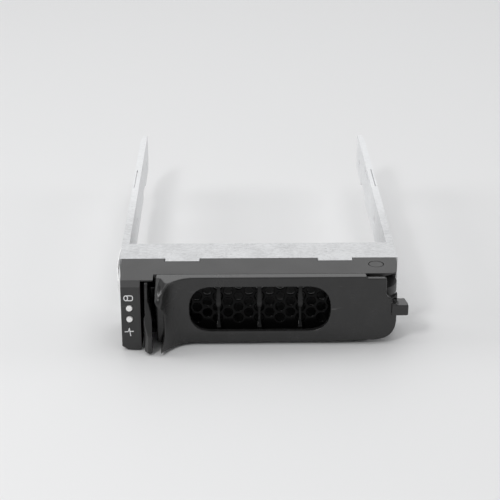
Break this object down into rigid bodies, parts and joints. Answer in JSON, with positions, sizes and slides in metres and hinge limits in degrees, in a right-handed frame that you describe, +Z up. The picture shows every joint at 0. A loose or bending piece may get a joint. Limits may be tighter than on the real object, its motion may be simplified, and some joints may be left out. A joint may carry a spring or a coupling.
{
  "type": "hard drive carrier tray",
  "caption": "Hot-swap carrier for a 3.5 inch hard drive: metal tray frame, dark bezel with indicator lenses, vented swing-out handle and pinch latch.",
  "frame": {"origin": "centre of the overall box, at the height of the bezel's underside", "axes": "+X to the right seen from the front, +Y back along the rails, +Z up through the bezel's top plate"},
  "size_m": [0.1114, 0.1798, 0.0285],
  "materials": {
    "frame_metal": "zinc-coated, mottled and lightly scratched",
    "spring_steel": "bright rolled",
    "screw_steel": "plain",
    "bezel_plastic": "fine spark texture, satin",
    "handle_plastic": "satin",
    "latch_plastic": "polished",
    "screen_plastic": "gloss",
    "clear_plastic": "frosted white lens"
  },
  "bodies": {
    "carrier": {"tray_frame": "frame_metal", "front_bezel": "bezel_plastic", "vent_screen": "screen_plastic", "handle_pivot_pin": "bezel_plastic", "status_light_pipe": "clear_plastic", "activity_light_pipe": "clear_plastic", "light_pipe_clip_1": "bezel_plastic", "light_pipe_clip_2": "bezel_plastic", "light_pipe_clip_3": "bezel_plastic", "side_ground_spring": "spring_steel", "ground_spring_rivet": "screw_steel", "bezel_screw_1": "screw_steel", "bezel_screw_2": "screw_steel", "bezel_screw_3": "screw_steel", "bezel_screw_4": "screw_steel"},
    "handle": {"release_handle": "handle_plastic", "latch_pivot_pin": "screw_steel", "latch_spring": "spring_steel"},
    "latch": {"release_latch": "latch_plastic"}
  },
  "joints": [
    {"name": "handle_swing", "type": "hinge", "parent": "carrier", "child": "handle", "pos_m": [0.04418, -0.06781, 0.0145], "axis": [0, 0, 1], "range_deg": [0, 55]},
    {"name": "latch_pinch", "type": "hinge", "parent": "handle", "child": "latch", "pos_m": [-0.04022, -0.07101, 0.0155], "axis": [0, 0, 1], "range_deg": [0, 4], "stiffness_Nm_per_rad": 0.05, "deforming": ["latch_spring"]}
  ]
}
